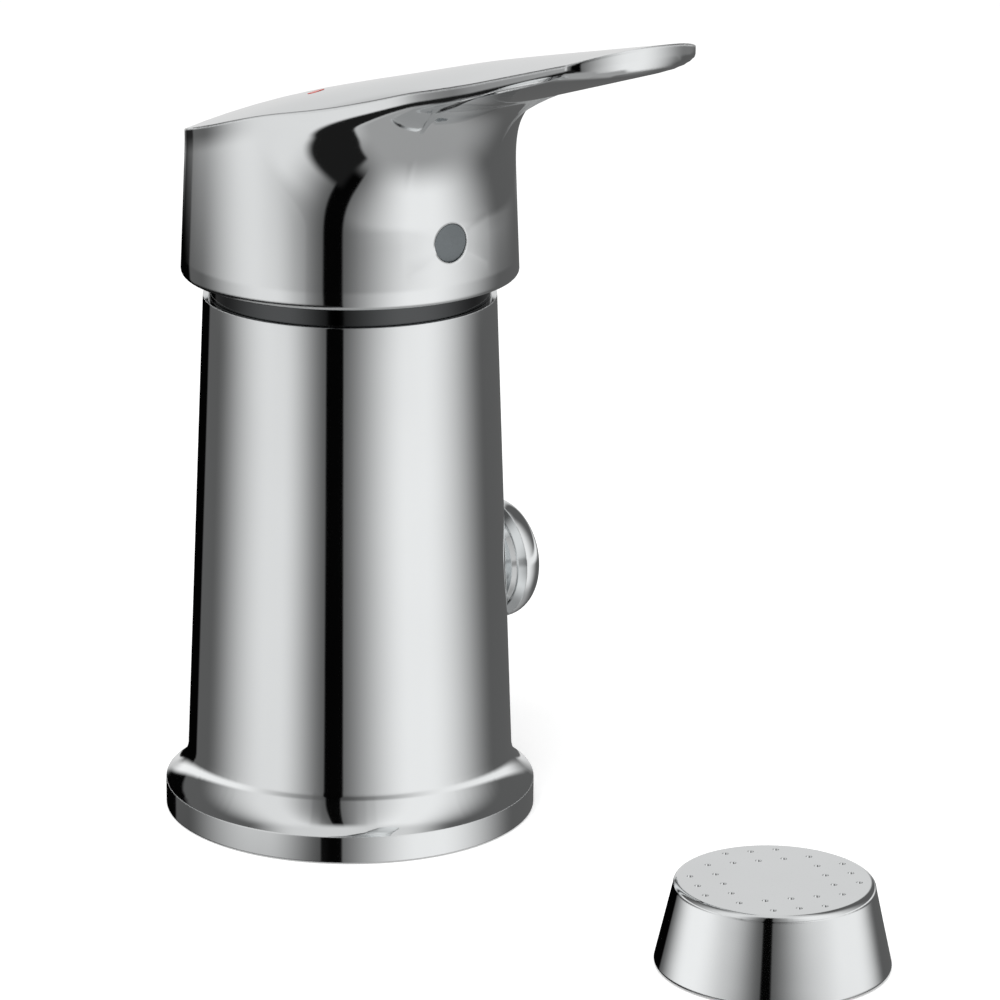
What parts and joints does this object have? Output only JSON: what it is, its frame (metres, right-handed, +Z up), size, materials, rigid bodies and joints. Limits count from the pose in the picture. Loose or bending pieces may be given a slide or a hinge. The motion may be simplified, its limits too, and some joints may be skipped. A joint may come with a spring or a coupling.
{
  "type": "bidet mixer with vertical spray",
  "caption": "Single-lever chrome bidet mixer on a round flange, with a pull-out diverter knob on its side and a separate conical spray rose.",
  "frame": {"origin": "column axis on the deck plane, at the mouth of the fixing stud hole", "axes": "+Z up along the column, -Y along the lever, +X towards the diverter knob"},
  "size_m": [0.0566, 0.1278, 0.1228],
  "materials": {
    "chrome_body": "polished",
    "chrome_lever": "polished",
    "chrome_trim": "polished",
    "chrome_knob": "polished",
    "chrome_rose": "polished",
    "brass": "turned",
    "steel": "plain",
    "rubber_black": "matt",
    "plastic_white": "moulded",
    "plastic_grey": "moulded",
    "ceramic": "lapped ceramic",
    "cover_grey": "satin",
    "enamel_red": "enamel",
    "enamel_blue": "enamel"
  },
  "bodies": {
    "root": {"mixer_body": "chrome_body", "base_gasket": "rubber_black", "cartridge_base": "plastic_white", "cartridge_seals": "rubber_black", "fixed_disc": "ceramic", "cartridge_housing": "plastic_white", "cartridge_nut": "brass", "dome_ring": "chrome_trim", "diverter_seat": "brass", "bonnet_washer": "rubber_black", "diverter_bonnet": "chrome_knob", "diverter_spring": "steel", "rose_shell": "chrome_rose", "rose_gasket": "rubber_black", "rose_insert": "brass", "rose_seal": "rubber_black", "rose_flow_disc": "plastic_white"},
    "swivel": {"turret": "plastic_grey", "stem_pin": "steel"},
    "lever": {"lever_handle": "chrome_lever", "stem": "brass", "index_red": "enamel_red", "index_blue": "enamel_blue", "grub_screw": "steel", "screw_cover": "cover_grey"},
    "disc": {"moving_disc": "ceramic", "disc_carrier": "plastic_white"},
    "valve": {"diverter_knob": "chrome_knob", "knob_cap": "chrome_knob", "knob_screw": "steel", "diverter_spindle": "brass", "spindle_orings": "rubber_black", "valve_disc": "brass", "valve_washers": "rubber_black", "valve_nut": "brass"}
  },
  "joints": [
    {"name": "lever_swivel", "type": "hinge", "parent": "root", "child": "swivel", "pos_m": [0, 0, 0.072], "axis": [0, 0, 1], "range_deg": [-50, 50]},
    {"name": "lever_tilt", "type": "hinge", "parent": "swivel", "child": "lever", "pos_m": [0, 0, 0.072], "axis": [-1, 0, 0], "range_deg": [0, 20]},
    {"name": "disc_shift", "type": "slide", "parent": "swivel", "child": "disc", "axis": [0, -1, 0], "range_m": [0, 0.0034]},
    {"name": "diverter_pull", "type": "slide", "parent": "root", "child": "valve", "axis": [1, 0, 0], "range_m": [0, 0.0054], "stiffness_N_per_m": 300, "springref_m": -0.003, "deforming": ["diverter_spring"]}
  ],
  "couplings": [
    {"joint": "disc_shift", "follows": "lever_tilt", "m_per_rad": 0.0095}
  ]
}
